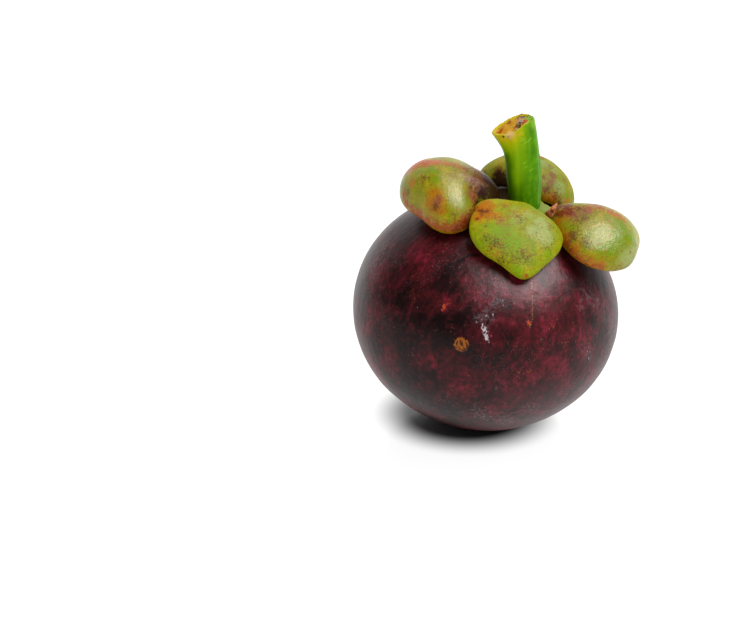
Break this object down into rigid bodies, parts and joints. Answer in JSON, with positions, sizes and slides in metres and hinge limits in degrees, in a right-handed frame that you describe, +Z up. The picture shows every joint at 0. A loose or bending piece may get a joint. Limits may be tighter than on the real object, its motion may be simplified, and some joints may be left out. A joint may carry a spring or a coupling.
{
  "type": "mangosteen",
  "caption": "Whole ripe mangosteen: a round fruit resting on a small flat spot, with a stout green stem, thick cupped sepals round its foot and a lobed stigma scar below.",
  "frame": {"origin": "middle of the small flat spot that the fruit rests on, at the height of the surface", "axes": "+Z up; -Y is the side seen in the picture; the calyx axis leans from +Z by 16 degrees towards +X and 5 degrees towards -Y"},
  "size_m": [0.0627, 0.0594, 0.0709],
  "materials": {
    "rind_skin": "satin, dark purple with maroon patches, orange latex spots and pale scuffs",
    "fresh_stem": "satin green bark, pale brown and rough where it is broken off",
    "sepal_skin": "satin yellow-green with brown specks and red-orange rims",
    "dried_stigma": "dry, dull brown"
  },
  "bodies": {
    "root": {"rind": "rind_skin", "stem": "fresh_stem", "sepal_left": "sepal_skin", "sepal_front": "sepal_skin", "sepal_right": "sepal_skin", "sepal_back": "sepal_skin", "stigma_rosette": "dried_stigma"}
  },
  "joints": []
}
